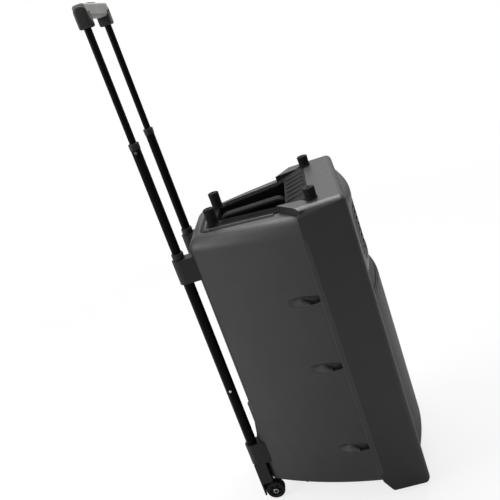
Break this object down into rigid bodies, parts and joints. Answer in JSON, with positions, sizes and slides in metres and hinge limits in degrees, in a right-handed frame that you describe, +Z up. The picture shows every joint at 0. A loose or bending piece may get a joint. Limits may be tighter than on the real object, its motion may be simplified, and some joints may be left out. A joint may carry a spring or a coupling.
{
  "type": "party speaker",
  "caption": "Moulded two-way loudspeaker on two wheels with a telescoping trolley handle, domed grille, horn, rear amplifier panel and carry handle.",
  "frame": {"origin": "under the middle of the whole object, on the floor that its wheels and front feet stand on", "axes": "+X out of the front grille, +Y to the speaker's left, +Z up"},
  "size_m": [0.452, 0.43, 1.292],
  "materials": {
    "cabinet_plastic": "leather-grained black moulded polypropylene",
    "bezel_plastic": "fine-grained black moulded polypropylene",
    "grille_steel": "black powder-coated perforated steel",
    "horn_plastic": "satin black moulded plastic",
    "black_rubber": "matt black rubber",
    "tyre_rubber": "matt black rubber tyre",
    "black_tube": "satin black painted steel tube",
    "bracket_plastic": "black glass-filled nylon",
    "grip_grey": "grey speckled moulded plastic",
    "bright_steel": "bright plated steel",
    "black_steel": "black oxide steel",
    "cone_paper": "black coated pressed pulp",
    "cloth_spider": "corrugated treated cloth",
    "panel_metal": "black painted sheet steel",
    "heatsink_alloy": "extruded aluminium",
    "board_green": "green solder mask on glass epoxy",
    "case_steel": "zinc-plated sheet steel",
    "battery_case": "dark grey battery case",
    "knob_plastic": "black knob plastic with a white line",
    "gloss_black": "gloss black plastic",
    "basket_metal": "black painted pressed steel"
  },
  "bodies": {
    "root": {"amp_heatsink": "heatsink_alloy", "amp_panel": "panel_metal", "axle": "bright_steel", "base_studs": "black_rubber", "battery_pack": "battery_case", "battery_strap": "case_steel", "bracket_screws": "black_steel", "carry_handle": "bracket_plastic", "compression_driver": "basket_metal", "control_pots": "case_steel", "front_bezel": "bezel_plastic", "front_feet": "black_rubber", "horn_flare": "horn_plastic", "input_jacks": "gloss_black", "lower_bracket": "bracket_plastic", "main_board": "board_green", "mains_inlet": "gloss_black", "media_panel": "gloss_black", "outer_collars": "bracket_plastic", "outer_tube_left": "black_tube", "outer_tube_right": "black_tube", "pole_socket": "bracket_plastic", "power_supply": "case_steel", "rear_shell": "cabinet_plastic", "reflex_ports": "horn_plastic", "shell_screws": "black_steel", "top_posts": "black_rubber", "top_tray": "bracket_plastic", "tube_rivets": "bright_steel", "upper_bracket": "bracket_plastic", "woofer_basket": "basket_metal", "woofer_grille": "grille_steel", "woofer_magnet": "case_steel", "woofer_spider": "cloth_spider", "woofer_surround": "black_rubber"},
    "middle_stage": {"middle_tube_left": "black_tube", "middle_tube_right": "black_tube", "middle_collars": "bracket_plastic", "lock_buttons": "bright_steel"},
    "inner_stage": {"inner_tube_left": "black_tube", "inner_tube_right": "black_tube", "grip_ends": "bracket_plastic", "grip_crossbar": "grip_grey"},
    "release": {"release_button": "bracket_plastic"},
    "left_wheel": {"wheel_left": "bracket_plastic", "tyre_left": "tyre_rubber"},
    "right_wheel": {"wheel_right": "bracket_plastic", "tyre_right": "tyre_rubber"},
    "cone": {"woofer_cone": "cone_paper", "voice_coil": "heatsink_alloy", "dust_cap": "cone_paper"},
    "mic_knob": {"mic_knob": "knob_plastic"},
    "line_knob": {"line_knob": "knob_plastic"},
    "master_knob": {"master_knob": "knob_plastic"},
    "bass_knob": {"bass_knob": "knob_plastic"},
    "treble_knob": {"treble_knob": "knob_plastic"},
    "rocker": {"power_rocker": "gloss_black"},
    "previous_button": {"previous_button": "knob_plastic"},
    "play_button": {"play_button": "knob_plastic"},
    "next_button": {"next_button": "knob_plastic"}
  },
  "joints": [
    {"name": "middle_slide", "type": "slide", "parent": "root", "child": "middle_stage", "axis": [0, 0, 1], "range_m": [-0.245, 0]},
    {"name": "inner_slide", "type": "slide", "parent": "middle_stage", "child": "inner_stage", "axis": [0, 0, 1], "range_m": [-0.2525, 0]},
    {"name": "release_press", "type": "slide", "parent": "inner_stage", "child": "release", "axis": [0, 0, -1], "range_m": [0, 0.0025], "stiffness_N_per_m": 800},
    {"name": "left_wheel_spin", "type": "hinge", "parent": "root", "child": "left_wheel", "pos_m": [-0.19, 0.103, 0.024], "axis": [0, 1, 0], "continuous": true},
    {"name": "right_wheel_spin", "type": "hinge", "parent": "root", "child": "right_wheel", "pos_m": [-0.19, -0.103, 0.024], "axis": [0, 1, 0], "continuous": true},
    {"name": "cone_stroke", "type": "slide", "parent": "root", "child": "cone", "axis": [1, 0, 0], "range_m": [-0.004, 0.004], "stiffness_N_per_m": 3000},
    {"name": "mic_knob_turn", "type": "hinge", "parent": "root", "child": "mic_knob", "pos_m": [-0.172, -0.038, 0.491], "axis": [1, 0, 0], "range_deg": [-150, 150]},
    {"name": "line_knob_turn", "type": "hinge", "parent": "root", "child": "line_knob", "pos_m": [-0.172, 0, 0.491], "axis": [1, 0, 0], "range_deg": [-150, 150]},
    {"name": "master_knob_turn", "type": "hinge", "parent": "root", "child": "master_knob", "pos_m": [-0.172, 0.038, 0.491], "axis": [1, 0, 0], "range_deg": [-150, 150]},
    {"name": "bass_knob_turn", "type": "hinge", "parent": "root", "child": "bass_knob", "pos_m": [-0.172, -0.019, 0.455], "axis": [1, 0, 0], "range_deg": [-150, 150]},
    {"name": "treble_knob_turn", "type": "hinge", "parent": "root", "child": "treble_knob", "pos_m": [-0.172, 0.019, 0.455], "axis": [1, 0, 0], "range_deg": [-150, 150]},
    {"name": "rocker_tilt", "type": "hinge", "parent": "root", "child": "rocker", "pos_m": [-0.172, 0.034, 0.293], "axis": [0, 1, 0], "range_deg": [0, 16]},
    {"name": "previous_button_press", "type": "slide", "parent": "root", "child": "previous_button", "axis": [1, 0, 0], "range_m": [0, 0.0012], "stiffness_N_per_m": 600},
    {"name": "play_button_press", "type": "slide", "parent": "root", "child": "play_button", "axis": [1, 0, 0], "range_m": [0, 0.0012], "stiffness_N_per_m": 600},
    {"name": "next_button_press", "type": "slide", "parent": "root", "child": "next_button", "axis": [1, 0, 0], "range_m": [0, 0.0012], "stiffness_N_per_m": 600}
  ]
}
